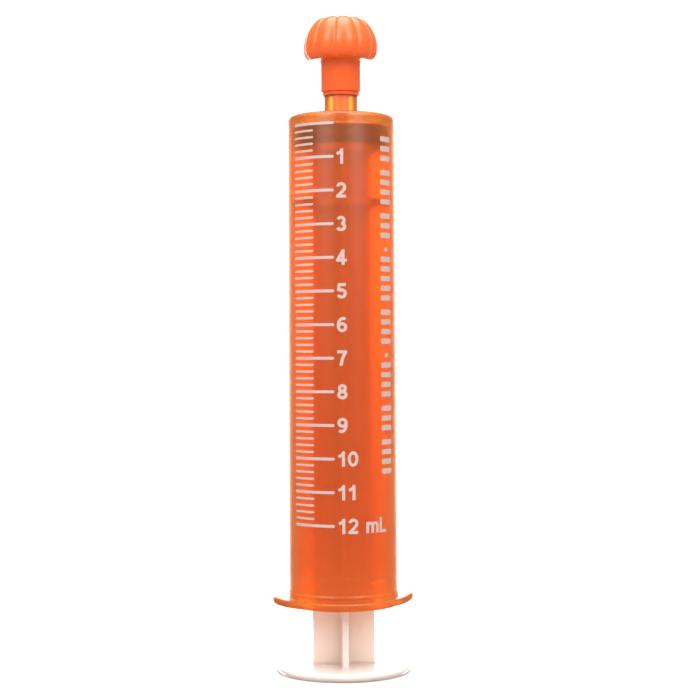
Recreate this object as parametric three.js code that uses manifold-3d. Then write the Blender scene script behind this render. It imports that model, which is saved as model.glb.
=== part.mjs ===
// An oral syringe: a graduated barrel with a finger flange and a male tip, a cross-ribbed push rod
// with a rubber seal, and a lobed cap that pulls off the tip.
// Millimetres, Z up. The syringe stands on the thumb rest of its rod: Z = 0 is the underside of the
// rest, the common axis is the Z axis and the ears of the finger flange lie along X.

import * as THREE from 'three';
import { mergeVertices } from 'three/addons/utils/BufferGeometryUtils.js';
import Module from 'manifold-3d';

const wasm = await Module();
wasm.setup();

// ---------------------------------------------------------------------------------------------
// Driving dimensions
// ---------------------------------------------------------------------------------------------

// Bore and scale
const nominalVolume = 12000;         // cubic millimetres between the first and the last line
const boreRadius = 7.7;
const tailLength = 13.73;            // open end of the barrel to the last line

// Barrel wall, shoulder and the retaining bead near the open end
const wall = 1.12;
const outerDraft = 0.17;             // the outer radius grows by this from shoulder to open end
const endWall = 1.7;
const coneSlope = 0.15;              // rise per radial millimetre of the shoulder and the bore end
const shoulderFillet = 0.8;
const mouthChamfer = 0.35;
const beadHeight = 0.25;             // the bead stands this far into the bore
const beadLength = 1.2;
const beadFromMouth = 4.7;
const ringHeight = 0.1;              // low ring outside, just above the flange
const ringLength = 0.7;
const ringFromMouth = 2.2;

// Tip
const tipRadius = 2.77;              // at its root
const tipTaper = 0.01;               // radius lost per millimetre of length
const tipLength = 10;
const lumenRadius = 1;

// Finger flange
const flangeThickness = 1.15;
const flangeLip = 0.3;               // how far the round middle stands out of the barrel
const earLength = 2.7;               // each ear beyond the side of the barrel
const earRadius = 1.75;
const earBend = 2.6;                 // the outer part of an ear, which curves up towards the tip
const earRise = 0.5;

// Push rod
const restRadius = 11.15;
const restThickness = 1.15;          // in the middle
const restDish = 0.23;               // how far the rim stands above the middle
const restTaper = 0.6;               // how far the rim draws in towards the floor
const restTaperHeight = 0.75;
const restEdge = 0.2;                // rounding of the rim of the thumb rest
const parkedGap = 9.8;               // rod left showing when the syringe is empty
const webWidth = 10.2;
const webThickness = 1.0;
const rodTurn = -5.7;                // degrees, where the rod happens to stand in the barrel
const discThickness = 1.2;
const discClearance = 0.35;          // discs pass the retaining bead with this much room
const guideDiscDrop = 8.8;           // head disc to guide disc
const neckRadius = 2.5;
const buttonRadius = 3.6;
const neckLength = 0.9;
const buttonLength = 0.9;

// Seal
const sealHeight = 2.85;             // at its rim
const sealClearance = 0.05;          // radial, to the bore
const sealGroove = 0.35;             // depth of the waist between the two lips
const sealLip = 0.7;
const sealStand = 0.1;               // the rim stands this far past the first line
const endClearance = 0.15;           // seal to the end of the bore
const snapClearance = 0.15;          // rod head inside the seal

// Cap
const capClearance = 0.05;           // radial, to the tip
const capGap = 2.75;                 // shoulder to the mouth of the cap
const capWall = 0.48;                // collar wall outside the tip
const lipLength = 0.6;               // tapered lip at the mouth
const lipInset = 0.25;
const collarLength = 5.12;
const domeRadius = 6.13;
const domeWaist = 2.5;               // underside of the dome to its widest ring
const domeHeight = 4.53;             // widest ring to the crest
const crestRadius = 3.2;             // ring where the lobes are highest
const crownDip = 0.35;               // how far the middle lies below that ring
const domeDrop = 3.0;                // half height of the lower part of the dome's curve
const upperPower = 1.66;             // the curve above and below the widest ring
const lowerPower = 3.68;
const socketHeadroom = 0.4;
const lobeCount = 10;
const lobeDepth = 0.32;
const lobeFullness = 0.7;            // lower is rounder lobes with narrower grooves between them

// Facets
const barrelSides = 64;
const rodSides = 48;
const sealSides = 48;
const capSidesPerLobe = 8;
const filletSteps = 2;

// ---------------------------------------------------------------------------------------------
// Heights and radii that follow
// ---------------------------------------------------------------------------------------------

const scaleLength = nominalVolume / (Math.PI * boreRadius ** 2);
const zMouth = restThickness + parkedGap;
const zZeroLine = zMouth + tailLength + scaleLength;
const zSealRim = zZeroLine + sealStand;
const zBoreEnd = zSealRim + endClearance;
const outerRadius = boreRadius + wall;
const mouthRadius = outerRadius + outerDraft;
const earReach = mouthRadius + earLength;
const zShoulder = zBoreEnd + endWall;
const zTipRoot = zShoulder + coneSlope * (boreRadius - tipRadius);
const zTipEnd = zTipRoot + tipLength;
const tipEndRadius = tipRadius - tipTaper * tipLength;
const zSealFoot = zSealRim - sealHeight;
const zHeadDisc = zSealFoot - snapClearance;
const discRadius = boreRadius - beadHeight - discClearance;

// ---------------------------------------------------------------------------------------------
// Helpers
// ---------------------------------------------------------------------------------------------

// An outline from corners [x, y, radius]; a corner with a radius is rounded. A rounding is never
// longer than its two sides leave room for.
function outline(corners) {
  const at = (i) => new THREE.Vector2(...corners[(i + corners.length) % corners.length].slice(0, 2));
  const points = [];
  corners.forEach(([, , radius = 0], i) => {
    const corner = at(i);
    if (radius === 0) {
      points.push(corner);
      return;
    }
    const back = at(i - 1).sub(corner);
    const ahead = at(i + 1).sub(corner);
    const room = 0.45 * Math.min(back.length(), ahead.length());
    back.normalize();
    ahead.normalize();
    const half = Math.acos(back.dot(ahead)) / 2;
    const reach = Math.min(radius / Math.tan(half), room);
    const trueRadius = reach * Math.tan(half);
    const centre = back.clone().add(ahead).setLength(trueRadius / Math.sin(half)).add(corner);
    const first = back.clone().multiplyScalar(reach).add(corner).sub(centre).angle();
    const last = ahead.clone().multiplyScalar(reach).add(corner).sub(centre).angle();
    const sweep = THREE.MathUtils.euclideanModulo(last - first + Math.PI, 2 * Math.PI) - Math.PI;
    for (let step = 0; step <= filletSteps; step += 1) {
      const angle = first + (sweep * step) / filletSteps;
      points.push(new THREE.Vector2(Math.cos(angle), Math.sin(angle)).multiplyScalar(trueRadius).add(centre));
    }
  });
  return points;
}

// A body turned about Z. The profile runs anticlockwise, radius to the right and Z up.
function turned(profile, sides) {
  return new THREE.LatheGeometry(profile, sides).rotateX(Math.PI / 2);
}

// A ring turned about Z from a profile that closes on itself.
function turnedRing(profile, sides) {
  return turned([...profile, profile[0].clone()], sides);
}

// A plate or bar with its outline in XY, from one height to another.
function upright(points, zLow, zHigh) {
  const shape = new THREE.Shape(points);
  return new THREE.ExtrudeGeometry(shape, { depth: zHigh - zLow, bevelEnabled: false }).translate(0, 0, zLow);
}

function solid(geometry) {
  const bare = geometry.clone();
  bare.deleteAttribute('normal');
  bare.deleteAttribute('uv');
  const merged = mergeVertices(bare, 1e-4);
  const index = merged.index.array;
  const corners = [];
  for (let i = 0; i < index.length; i += 3) {
    const [a, b, c] = index.slice(i, i + 3);
    if (a !== b && b !== c && c !== a) {
      corners.push(a, b, c);
    }
  }
  const vertProperties = new Float32Array(merged.attributes.position.array);
  return new wasm.Manifold(new wasm.Mesh({ numProp: 3, vertProperties, triVerts: new Uint32Array(corners) }));
}

function geometryOf(manifold) {
  const mesh = manifold.getMesh();
  const geometry = new THREE.BufferGeometry();
  geometry.setAttribute('position', new THREE.BufferAttribute(mesh.vertProperties, 3));
  geometry.setIndex(new THREE.BufferAttribute(mesh.triVerts, 1));
  geometry.computeVertexNormals();
  return geometry;
}

function part(name, geometry, color, roughness) {
  const mesh = new THREE.Mesh(geometry, new THREE.MeshStandardMaterial({ color, roughness, metalness: 0 }));
  mesh.name = name;
  return mesh;
}

// ---------------------------------------------------------------------------------------------
// Barrel: tube, shoulder, tip and flange in one moulding
// ---------------------------------------------------------------------------------------------

function barrelTube() {
  const zBead = zMouth + beadFromMouth;
  const zRing = zMouth + ringFromMouth;
  const flankLength = beadLength / 3;
  return turnedRing(outline([
    [boreRadius + mouthChamfer, zMouth],
    [mouthRadius, zMouth],
    [mouthRadius, zRing - ringLength / 2],
    [mouthRadius + ringHeight, zRing],
    [mouthRadius, zRing + ringLength / 2],
    [outerRadius, zShoulder, shoulderFillet],
    [tipRadius, zTipRoot],
    [tipEndRadius, zTipEnd, mouthChamfer],
    [lumenRadius, zTipEnd],
    [lumenRadius, zBoreEnd + coneSlope * (boreRadius - lumenRadius)],
    [boreRadius, zBoreEnd],
    [boreRadius, zBead + beadLength / 2],
    [boreRadius - beadHeight, zBead + beadLength / 2 - flankLength],
    [boreRadius - beadHeight, zBead - beadLength / 2 + flankLength],
    [boreRadius, zBead - beadLength / 2],
    [boreRadius, zMouth + mouthChamfer],
  ]), barrelSides);
}

// Plan of the flange: a round middle drawn out into two narrow ears by straight flanks.
function flangePlan() {
  const middleRadius = mouthRadius + flangeLip;
  const earCentre = earReach - earRadius;
  const flank = Math.acos((middleRadius - earRadius) / earCentre);
  const middleSteps = 10;
  const earSteps = 8;
  const points = [];
  for (const side of [0, Math.PI]) {
    for (let step = 0; step <= earSteps; step += 1) {
      const angle = side - flank + (2 * flank * step) / earSteps;
      points.push(new THREE.Vector2(
        Math.cos(side) * earCentre + earRadius * Math.cos(angle),
        earRadius * Math.sin(angle),
      ));
    }
    for (let step = 0; step <= middleSteps; step += 1) {
      const angle = side + flank + ((Math.PI - 2 * flank) * step) / middleSteps;
      points.push(new THREE.Vector2(middleRadius * Math.cos(angle), middleRadius * Math.sin(angle)));
    }
  }
  return points;
}

// The flange seen from the side is a flat bar whose ends curve up, cut to the plan.
function flange() {
  const bendSteps = 5;
  const under = [];
  for (let step = 0; step <= bendSteps; step += 1) {
    const along = step / bendSteps;
    under.push([earReach - earBend * (1 - along), zMouth + earRise * along ** 2]);
  }
  const mirrored = (line) => line.map(([x, z]) => [-x, z]).reverse();
  const over = under.map(([x, z]) => [x, z + flangeThickness]);
  const side = [...mirrored(under), ...under, ...[...over].reverse(), ...mirrored(over).reverse()];
  const halfDepth = mouthRadius + flangeLip + 1;
  const bar = upright(side.map(([x, z]) => new THREE.Vector2(x, z)), -halfDepth, halfDepth);
  bar.rotateX(Math.PI / 2);
  const plan = upright(flangePlan(), zMouth - 1, zMouth + flangeThickness + earRise + 1);
  const hole = new THREE.CylinderGeometry(boreRadius + wall / 2, boreRadius + wall / 2, 20, barrelSides);
  hole.rotateX(Math.PI / 2).translate(0, 0, zMouth);
  return solid(bar).intersect(solid(plan)).subtract(solid(hole));
}

function barrel() {
  return geometryOf(solid(barrelTube()).add(flange()));
}

// ---------------------------------------------------------------------------------------------
// Push rod: thumb rest, crossed webs, guide disc, head disc and the button that holds the seal
// ---------------------------------------------------------------------------------------------

function disc(radius, zLow, zHigh, edge) {
  const corners = outline([[0, zLow], [radius, zLow, edge], [radius, zHigh, edge], [0, zHigh]]);
  return solid(turned(corners, rodSides));
}

// The thumb rest: slightly dished on top, and drawn in towards the floor.
function thumbRest() {
  const dishSteps = 5;
  const dish = [];
  for (let step = dishSteps - 1; step >= 0; step -= 1) {
    const along = step / dishSteps;
    dish.push([restRadius * along, restThickness + restDish * along ** 2]);
  }
  return solid(turned(outline([
    [0, 0],
    [restRadius - restTaper, 0, restEdge],
    [restRadius, restTaperHeight, restEdge],
    [restRadius, restThickness + restDish, restEdge],
    ...dish,
  ]), rodSides));
}

function crossedWebs(zLow, zHigh) {
  const far = webWidth / 2;
  const near = webThickness / 2;
  const quarter = [[far, -near], [far, near], [near, near]];
  const points = [];
  for (let turn = 0; turn < 4; turn += 1) {
    for (const [x, y] of quarter) {
      points.push(new THREE.Vector2(x, y).rotateAround(new THREE.Vector2(), (turn * Math.PI) / 2));
    }
  }
  return solid(upright(points, zLow, zHigh).rotateZ(THREE.MathUtils.degToRad(rodTurn)));
}

function pushRod() {
  const zNeckTop = zSealFoot + neckLength;
  const zGuide = zHeadDisc - guideDiscDrop;
  const edge = discThickness / 6;
  const sunk = discThickness / 4;
  const head = disc(neckRadius, zHeadDisc - sunk, zNeckTop + buttonLength / 2, 0)
    .add(disc(buttonRadius, zNeckTop, zNeckTop + buttonLength, edge));
  return geometryOf(thumbRest()
    .add(crossedWebs(restThickness - sunk, zHeadDisc - discThickness + sunk))
    .add(disc(discRadius, zGuide - discThickness, zGuide, edge))
    .add(disc(discRadius, zHeadDisc - discThickness, zHeadDisc, edge))
    .add(head));
}

// ---------------------------------------------------------------------------------------------
// Seal: a rubber piston with two lips, snapped over the button of the rod
// ---------------------------------------------------------------------------------------------

function seal() {
  const lipRadius = boreRadius - sealClearance;
  const waistRadius = lipRadius - sealGroove;
  const flare = sealGroove;
  const zUndercut = zSealFoot + neckLength - snapClearance;
  const zSocket = zSealFoot + neckLength + buttonLength + snapClearance;
  return turned(outline([
    [0, zSocket],
    [buttonRadius + snapClearance, zSocket],
    [buttonRadius + snapClearance, zUndercut],
    [neckRadius + snapClearance, zUndercut],
    [neckRadius + snapClearance, zSealFoot],
    [lipRadius, zSealFoot, flare / 2],
    [lipRadius, zSealFoot + sealLip],
    [waistRadius, zSealFoot + sealLip + flare],
    [waistRadius, zSealRim - sealLip - flare],
    [lipRadius, zSealRim - sealLip],
    [lipRadius, zSealRim, flare / 2],
    [0, zSealRim + coneSlope * lipRadius],
  ]), sealSides);
}

// ---------------------------------------------------------------------------------------------
// Cap: a collar that grips the tip under a heavy lobed dome
// ---------------------------------------------------------------------------------------------

// Half width of the dome at a height above its widest ring, or below it when negative.
function domeProfile(height) {
  const [reach, power, core] = height < 0 ? [domeDrop, lowerPower, 0] : [domeHeight, upperPower, crestRadius];
  return core + (domeRadius - core) * (1 - (Math.abs(height) / reach) ** power) ** (1 / power);
}

function cap() {
  const zCapMouth = zTipRoot + capGap;
  const zCollar = zCapMouth + lipLength;
  const zUnderside = zCollar + collarLength;
  const zWidest = zUnderside + domeWaist;
  const zSocket = zTipEnd + socketHeadroom;
  const holeAt = (z) => tipRadius - tipTaper * (z - zTipRoot) + capClearance;
  const collarRadius = tipRadius + capClearance + capWall;
  const lowerSteps = 4;
  const upperSteps = 9;
  const crownSteps = 4;
  const dome = [];
  for (let step = 0; step <= lowerSteps; step += 1) {
    const height = -domeWaist * (1 - step / lowerSteps);
    dome.push([domeProfile(height), zWidest + height]);
  }
  for (let step = 1; step <= upperSteps; step += 1) {
    const height = domeHeight * Math.sin((step / upperSteps) * (Math.PI / 2));
    dome.push([domeProfile(height), zWidest + height]);
  }
  for (let step = 1; step <= crownSteps; step += 1) {
    const along = step / crownSteps;
    const dip = crownDip * Math.sin(along * (Math.PI / 2)) ** 2;
    dome.push([crestRadius * (1 - along), zWidest + domeHeight - dip]);
  }
  const geometry = turned(outline([
    [0, zSocket],
    [holeAt(zSocket), zSocket],
    [holeAt(zCapMouth), zCapMouth],
    [collarRadius - lipInset, zCollar],
    [collarRadius, zCollar],
    [collarRadius, zUnderside],
    ...dome,
  ]), lobeCount * capSidesPerLobe);
  return lobed(geometry, zUnderside, zWidest);
}

// Draws the outside of the dome in towards its middle where two lobes meet.
function lobed(geometry, zLow, zMiddle) {
  const position = geometry.attributes.position;
  const middle = new THREE.Vector3(0, 0, zMiddle);
  const point = new THREE.Vector3();
  const collarRadius = tipRadius + capClearance + capWall;
  for (let i = 0; i < position.count; i += 1) {
    point.fromBufferAttribute(position, i);
    const radius = Math.hypot(point.x, point.y);
    const outside = radius > collarRadius + 0.001 || point.z > zMiddle + domeHeight / 2;
    if (point.z > zLow - 0.001 && outside) {
      const wave = Math.abs(Math.cos((lobeCount / 2) * (Math.atan2(point.x, -point.y))));
      const valley = (1 - wave ** lobeFullness) * Math.min(1, radius / crestRadius);
      point.lerp(middle, (lobeDepth * valley) / domeRadius);
      position.setXYZ(i, point.x, point.y, point.z);
    }
  }
  return geometry;
}

// ---------------------------------------------------------------------------------------------
// Assembly
// ---------------------------------------------------------------------------------------------

const orange = '#f4602a';
const group = new THREE.Group();
group.add(part('plunger_rod', pushRod(), '#f2ece6', 0.35));
group.add(part('plunger_seal', seal(), '#3a2a24', 0.6));
group.add(part('barrel', barrel(), orange, 0.25));
group.add(part('tip_cap', cap(), '#ff7a3c', 0.4));

export default group;
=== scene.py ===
from math import acos, atan2, ceil, cos, pi, radians, sin, sqrt, tan

import bmesh
import bpy
from mathutils import Matrix, Quaternion, Vector


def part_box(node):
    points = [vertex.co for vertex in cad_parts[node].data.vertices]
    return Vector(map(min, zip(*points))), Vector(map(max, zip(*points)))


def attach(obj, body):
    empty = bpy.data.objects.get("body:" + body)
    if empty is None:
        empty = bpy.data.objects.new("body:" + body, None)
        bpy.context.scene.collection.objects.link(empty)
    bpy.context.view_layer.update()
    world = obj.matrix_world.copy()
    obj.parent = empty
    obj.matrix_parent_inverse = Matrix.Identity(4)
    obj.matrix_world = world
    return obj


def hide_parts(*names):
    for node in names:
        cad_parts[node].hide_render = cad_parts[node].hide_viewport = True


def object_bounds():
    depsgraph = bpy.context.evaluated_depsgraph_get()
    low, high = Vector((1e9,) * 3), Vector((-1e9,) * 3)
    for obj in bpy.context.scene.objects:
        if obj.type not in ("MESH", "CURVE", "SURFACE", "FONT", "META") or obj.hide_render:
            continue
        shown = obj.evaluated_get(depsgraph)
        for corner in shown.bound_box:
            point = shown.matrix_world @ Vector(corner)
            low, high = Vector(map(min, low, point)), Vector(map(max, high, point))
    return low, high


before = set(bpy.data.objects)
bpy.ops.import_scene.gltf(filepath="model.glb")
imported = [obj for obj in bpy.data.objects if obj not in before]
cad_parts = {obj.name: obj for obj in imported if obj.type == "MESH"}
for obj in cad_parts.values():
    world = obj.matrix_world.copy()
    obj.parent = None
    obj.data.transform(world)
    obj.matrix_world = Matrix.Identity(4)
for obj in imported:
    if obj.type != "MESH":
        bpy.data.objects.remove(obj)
cad_low, cad_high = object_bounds()
mm = 0.001


# ------------------------------------------------------------------------------------------
# Push rod
# One moulding of natural, milky polypropylene: a round thumb rest, two crossed webs with a guide
# disc and a head disc, and a button on a neck that the rubber seal snaps over. The webs run out
# into small fillets where they meet a disc, and every edge is slightly rounded by the mould. Its
# colour carries a warm tint of painted light that stands in for orange light from the barrel.
# ------------------------------------------------------------------------------------------

rod_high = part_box("plunger_rod")[1]
seal_low, seal_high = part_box("plunger_seal")
rest_radius = rod_high.x
rest_thickness = 1.15 * mm
rest_dish = 0.23 * mm
rest_taper = 0.6 * mm
rest_taper_height = 0.75 * mm
rest_edge = 0.28 * mm
rest_shoulder = 0.7 * mm
gate_radius = 1.3 * mm
gate_depth = 0.22 * mm
gate_edge = 0.1 * mm
web_width = 10.2 * mm
web_thickness = 1.0 * mm
web_fillet = 0.32 * mm
rod_turn = radians(-5.7)
disc_thickness = 1.2 * mm
disc_radius = 7.1 * mm
disc_edge = 0.25 * mm
snap_room = 0.15 * mm
z_head = seal_low.z - snap_room
z_guide = z_head - 8.8 * mm
fine_edge = 0.1 * mm
neck_radius = 2.5 * mm
neck_fillet = 0.2 * mm
button_radius = 3.6 * mm
button_length = 0.9 * mm


def rounded(corners, steps=6, closed=False):
    """Points of an outline whose corners are (x, y) or (x, y, radius)."""
    points = []
    count = len(corners)
    for i, corner in enumerate(corners):
        here = Vector(corner[:2])
        if len(corner) == 2 or (not closed and i in (0, count - 1)):
            points.append(here)
            continue
        back = Vector(corners[i - 1][:2]) - here
        ahead = Vector(corners[(i + 1) % count][:2]) - here
        half = back.angle(ahead) / 2
        reach = min(corner[2] / tan(half), 0.48 * min(back.length, ahead.length))
        radius = reach * tan(half)
        middle = here + (back.normalized() + ahead.normalized()).normalized() * radius / sin(half)
        start = here + back.normalized() * reach - middle
        end = here + ahead.normalized() * reach - middle
        sweep = start.angle_signed(end)
        for step in range(steps + 1):
            angle = -sweep * step / steps
            points.append(middle + Vector((start.x * cos(angle) - start.y * sin(angle),
                                           start.x * sin(angle) + start.y * cos(angle))))
    return points


def skin(rings, loop):
    """A mesh through rings of points. A ring of one point is a pole, and loop joins the last ring to
    the first."""
    bm = bmesh.new()
    rows = [[bm.verts.new(point) for point in ring] for ring in rings]
    pairs = list(zip(rows, rows[1:])) + ([(rows[-1], rows[0])] if loop else [])
    for low, high in pairs:
        sides = max(len(low), len(high))
        for i in range(sides):
            j = (i + 1) % sides
            corners = [low[i % len(low)], low[j % len(low)], high[j % len(high)], high[i % len(high)]]
            face = list(dict.fromkeys(corners))
            if len(face) > 2:
                bm.faces.new(face)
    bmesh.ops.recalc_face_normals(bm, faces=bm.faces)
    return bm


def turned(profile, sides, loop=False):
    """A body turned about Z from (radius, height) points."""
    rings = []
    for radius, z in profile:
        if radius < 1e-7:
            rings.append([Vector((0, 0, z))])
        else:
            turns = [2 * pi * i / sides for i in range(sides)]
            rings.append([Vector((radius * sin(a), -radius * cos(a), z)) for a in turns])
    return skin(rings, loop)


def solid(name, bm, crease=radians(32)):
    """An object with that mesh, smooth except across creases."""
    mesh = bpy.data.meshes.new(name)
    bm.to_mesh(mesh)
    bm.free()
    mesh.shade_smooth()
    mesh.set_sharp_from_angle(angle=crease)
    made = bpy.data.objects.new(name, mesh)
    bpy.context.scene.collection.objects.link(made)
    return made


def baked(name, source, crease=radians(32)):
    """A plain mesh object of what source looks like with its modifiers, which replaces source."""
    mesh = bpy.data.meshes.new_from_object(source.evaluated_get(bpy.context.evaluated_depsgraph_get()))
    bpy.data.objects.remove(source)
    mesh.name = name
    mesh.shade_smooth()
    mesh.set_sharp_from_angle(angle=crease)
    made = bpy.data.objects.new(name, mesh)
    bpy.context.scene.collection.objects.link(made)
    return made


def joined(name, pieces):
    """One closed solid from solids that overlap."""
    first = pieces[0]
    for other in pieces[1:]:
        union = first.modifiers.new("union", "BOOLEAN")
        union.operation = "UNION"
        union.solver = "EXACT"
        union.object = other
    bpy.context.view_layer.update()
    made = baked(name, first)
    for other in pieces[1:]:
        bpy.data.objects.remove(other)
    return made


def crossed_webs(name, z_low, z_high):
    """The crossed webs between two discs, flared into a fillet at both ends."""
    overlap = 0.2 * mm
    tip_round = 0.2 * mm
    root_round = 0.35 * mm
    steps = 5
    turns = [radians(90) * i / steps for i in range(steps + 1)]
    flare = [(web_fillet * (1 - sin(turn)), web_fillet * (1 - cos(turn))) for turn in turns]
    levels = [(z_low - overlap, web_fillet)]
    levels += [(z_low + rise, out) for out, rise in flare]
    levels += [(z_high - rise, out) for out, rise in reversed(flare)]
    levels += [(z_high + overlap, web_fillet)]
    rings = []
    for z, out in levels:
        far = web_width / 2 + out
        near = web_thickness / 2 + out
        corners = []
        for quarter in range(4):
            turn = rod_turn + quarter * pi / 2
            quarter_corners = ((far, -near, tip_round), (far, near, tip_round), (near, near, root_round))
            for x, y, radius in quarter_corners:
                corners.append((x * cos(turn) - y * sin(turn), x * sin(turn) + y * cos(turn), radius))
        rings.append([Vector((p.x, p.y, z)) for p in rounded(corners, 4, closed=True)])
    bm = skin(rings, loop=False)
    bmesh.ops.holes_fill(bm, edges=[edge for edge in bm.edges if edge.is_boundary])
    bmesh.ops.recalc_face_normals(bm, faces=bm.faces)
    return solid(name, bm)


def moulded_surface():
    """Node group: the faint cloudiness, gloss changes and orange peel of a plastic moulding."""
    group = bpy.data.node_groups.new("moulded_surface", "ShaderNodeTree")
    face = group.interface
    for label, value in (("Cloud Size", 0.004), ("Peel Size", 0.0005), ("Roughness", 0.3),
                         ("Roughness Spread", 0.08), ("Stretch", 1.0)):
        face.new_socket(label, in_out="INPUT", socket_type="NodeSocketFloat").default_value = value
    for label in ("Tone", "Roughness", "Height"):
        face.new_socket(label, in_out="OUTPUT", socket_type="NodeSocketFloat")
    nodes, links = group.nodes, group.links
    given = nodes.new("NodeGroupInput")
    result = nodes.new("NodeGroupOutput")
    place = nodes.new("ShaderNodeTexCoord")
    squeeze = nodes.new("ShaderNodeVectorMath")
    squeeze.operation = "MULTIPLY"
    axes = nodes.new("ShaderNodeCombineXYZ")
    axes.inputs["X"].default_value = 1
    axes.inputs["Y"].default_value = 1
    links.new(given.outputs["Stretch"], axes.inputs["Z"])
    links.new(place.outputs["Object"], squeeze.inputs[0])
    links.new(axes.outputs["Vector"], squeeze.inputs[1])

    def noise(size_socket, detail, vector):
        per_metre = nodes.new("ShaderNodeMath")
        per_metre.operation = "DIVIDE"
        per_metre.inputs[0].default_value = 1
        links.new(size_socket, per_metre.inputs[1])
        made = nodes.new("ShaderNodeTexNoise")
        made.inputs["Detail"].default_value = detail
        made.inputs["Roughness"].default_value = 0.55
        links.new(vector, made.inputs["Vector"])
        links.new(per_metre.outputs[0], made.inputs["Scale"])
        return made.outputs["Fac"]

    cloud = noise(given.outputs["Cloud Size"], 3, squeeze.outputs["Vector"])
    peel = noise(given.outputs["Peel Size"], 2, place.outputs["Object"])
    vary = nodes.new("ShaderNodeMath")
    vary.operation = "MULTIPLY_ADD"
    centred = nodes.new("ShaderNodeMath")
    centred.operation = "SUBTRACT"
    centred.inputs[1].default_value = 0.5
    links.new(cloud, centred.inputs[0])
    links.new(centred.outputs[0], vary.inputs[0])
    links.new(given.outputs["Roughness Spread"], vary.inputs[1])
    links.new(given.outputs["Roughness"], vary.inputs[2])
    links.new(cloud, result.inputs["Tone"])
    links.new(vary.outputs[0], result.inputs["Roughness"])
    links.new(peel, result.inputs["Height"])
    return group


def fine_scratches():
    """Node group: sparse hairline scratches from handling, running mostly along the part."""
    group = bpy.data.node_groups.new("fine_scratches", "ShaderNodeTree")
    face = group.interface
    for label, value in (("Spacing", 0.002), ("Amount", 0.5)):
        face.new_socket(label, in_out="INPUT", socket_type="NodeSocketFloat").default_value = value
    face.new_socket("Scratch", in_out="OUTPUT", socket_type="NodeSocketFloat")
    nodes, links = group.nodes, group.links
    given = nodes.new("NodeGroupInput")
    result = nodes.new("NodeGroupOutput")
    place = nodes.new("ShaderNodeTexCoord")
    lean = nodes.new("ShaderNodeMapping")
    lean.inputs["Rotation"].default_value = (radians(12), radians(-9), 0)
    lean.inputs["Scale"].default_value = (1, 1, 0.09)
    per_metre = nodes.new("ShaderNodeMath")
    per_metre.operation = "DIVIDE"
    per_metre.inputs[0].default_value = 1
    cells = nodes.new("ShaderNodeTexVoronoi")
    cells.feature = "DISTANCE_TO_EDGE"
    line = nodes.new("ShaderNodeMapRange")
    line.inputs["From Min"].default_value = 0.0
    line.inputs["From Max"].default_value = 0.02
    line.inputs["To Min"].default_value = 1.0
    line.inputs["To Max"].default_value = 0.0
    patches = nodes.new("ShaderNodeTexNoise")
    patches.inputs["Scale"].default_value = 260
    patches.inputs["Detail"].default_value = 2
    some = nodes.new("ShaderNodeMapRange")
    some.inputs["From Min"].default_value = 0.5
    some.inputs["From Max"].default_value = 0.62
    both = nodes.new("ShaderNodeMath")
    both.operation = "MULTIPLY"
    scaled = nodes.new("ShaderNodeMath")
    scaled.operation = "MULTIPLY"
    links.new(place.outputs["Object"], lean.inputs["Vector"])
    links.new(given.outputs["Spacing"], per_metre.inputs[1])
    links.new(lean.outputs["Vector"], cells.inputs["Vector"])
    links.new(per_metre.outputs[0], cells.inputs["Scale"])
    links.new(cells.outputs["Distance"], line.inputs["Value"])
    links.new(place.outputs["Object"], patches.inputs["Vector"])
    links.new(patches.outputs["Fac"], some.inputs["Value"])
    links.new(line.outputs["Result"], both.inputs[0])
    links.new(some.outputs["Result"], both.inputs[1])
    links.new(both.outputs[0], scaled.inputs[0])
    links.new(given.outputs["Amount"], scaled.inputs[1])
    links.new(scaled.outputs[0], result.inputs["Scratch"])
    return group


surface_group = moulded_surface()
scratch_group = fine_scratches()


def plastic(name, light, dark, cloud, peel, gloss, spread, relief, stretch=1.0, scratch=0.0):
    """A moulded plastic: two tones of one colour, uneven gloss, orange peel and a few scratches."""
    material = bpy.data.materials.new(name)
    material.use_nodes = True
    nodes, links = material.node_tree.nodes, material.node_tree.links
    shader = nodes["Principled BSDF"]
    surface = nodes.new("ShaderNodeGroup")
    surface.node_tree = surface_group
    surface.inputs["Cloud Size"].default_value = cloud
    surface.inputs["Peel Size"].default_value = peel
    surface.inputs["Roughness"].default_value = gloss
    surface.inputs["Roughness Spread"].default_value = spread
    surface.inputs["Stretch"].default_value = stretch
    scratches = nodes.new("ShaderNodeGroup")
    scratches.node_tree = scratch_group
    scratches.inputs["Amount"].default_value = scratch
    tone = nodes.new("ShaderNodeMix")
    tone.data_type = "RGBA"
    tone.inputs["A"].default_value = (*dark, 1)
    tone.inputs["B"].default_value = (*light, 1)
    rough = nodes.new("ShaderNodeMath")
    rough.operation = "MULTIPLY_ADD"
    rough.inputs[1].default_value = 0.25
    relief_sum = nodes.new("ShaderNodeMath")
    relief_sum.operation = "SUBTRACT"
    bump = nodes.new("ShaderNodeBump")
    bump.inputs["Distance"].default_value = relief
    bump.inputs["Strength"].default_value = 1
    links.new(surface.outputs["Tone"], tone.inputs["Factor"])
    links.new(tone.outputs["Result"], shader.inputs["Base Color"])
    links.new(scratches.outputs["Scratch"], rough.inputs[0])
    links.new(surface.outputs["Roughness"], rough.inputs[2])
    links.new(rough.outputs[0], shader.inputs["Roughness"])
    links.new(surface.outputs["Height"], relief_sum.inputs[0])
    links.new(scratches.outputs["Scratch"], relief_sum.inputs[1])
    links.new(relief_sum.outputs[0], bump.inputs["Height"])
    links.new(bump.outputs["Normal"], shader.inputs["Normal"])
    shader.inputs["IOR"].default_value = 1.49
    return material


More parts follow.
